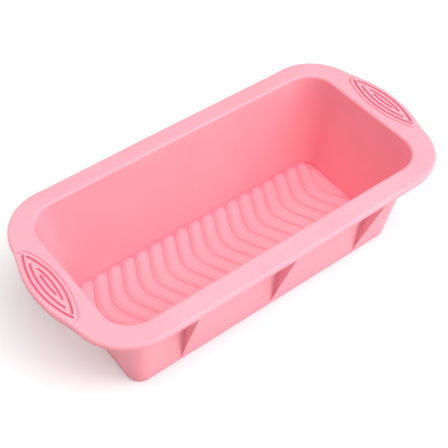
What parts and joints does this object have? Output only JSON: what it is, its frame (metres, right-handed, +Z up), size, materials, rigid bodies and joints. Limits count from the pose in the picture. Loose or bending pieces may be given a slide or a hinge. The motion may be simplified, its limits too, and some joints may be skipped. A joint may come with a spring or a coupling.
{
  "type": "soap loaf mould",
  "caption": "Open rectangular loaf mould in flexible silicone with leaning walls, a flat rim with rounded corners, a ribbed lens-shaped grip at each end and a wave-ridged floor.",
  "frame": {"origin": "middle of the flat underside of the floor, on the table", "axes": "+Z up, +X along the mould's long sides, the front long side faces -Y"},
  "size_m": [0.2584, 0.128, 0.0706],
  "materials": {
    "silicone": "soft satin moulded silicone, pale pink, slightly translucent"
  },
  "bodies": {
    "root": {"floor_panel": "silicone", "front_wall": "silicone", "back_wall": "silicone", "left_wall": "silicone", "right_wall": "silicone", "front_left_corner": "silicone", "front_right_corner": "silicone", "back_left_corner": "silicone", "back_right_corner": "silicone", "front_rim": "silicone", "back_rim": "silicone", "left_rim": "silicone", "right_rim": "silicone", "front_left_rim_corner": "silicone", "front_right_rim_corner": "silicone", "back_left_rim_corner": "silicone", "back_right_rim_corner": "silicone", "left_grip": "silicone", "right_grip": "silicone", "front_left_gusset": "silicone", "front_middle_gusset": "silicone", "front_right_gusset": "silicone", "back_left_gusset": "silicone", "back_middle_gusset": "silicone", "back_right_gusset": "silicone", "wave_ridge_01": "silicone", "wave_ridge_02": "silicone", "wave_ridge_03": "silicone", "wave_ridge_04": "silicone", "wave_ridge_05": "silicone", "wave_ridge_06": "silicone", "wave_ridge_07": "silicone", "wave_ridge_08": "silicone", "wave_ridge_09": "silicone", "wave_ridge_10": "silicone", "wave_ridge_11": "silicone", "wave_ridge_12": "silicone", "wave_ridge_13": "silicone", "wave_ridge_14": "silicone", "wave_ridge_15": "silicone", "wave_ridge_16": "silicone", "wave_ridge_17": "silicone", "wave_ridge_18": "silicone"}
  },
  "joints": []
}
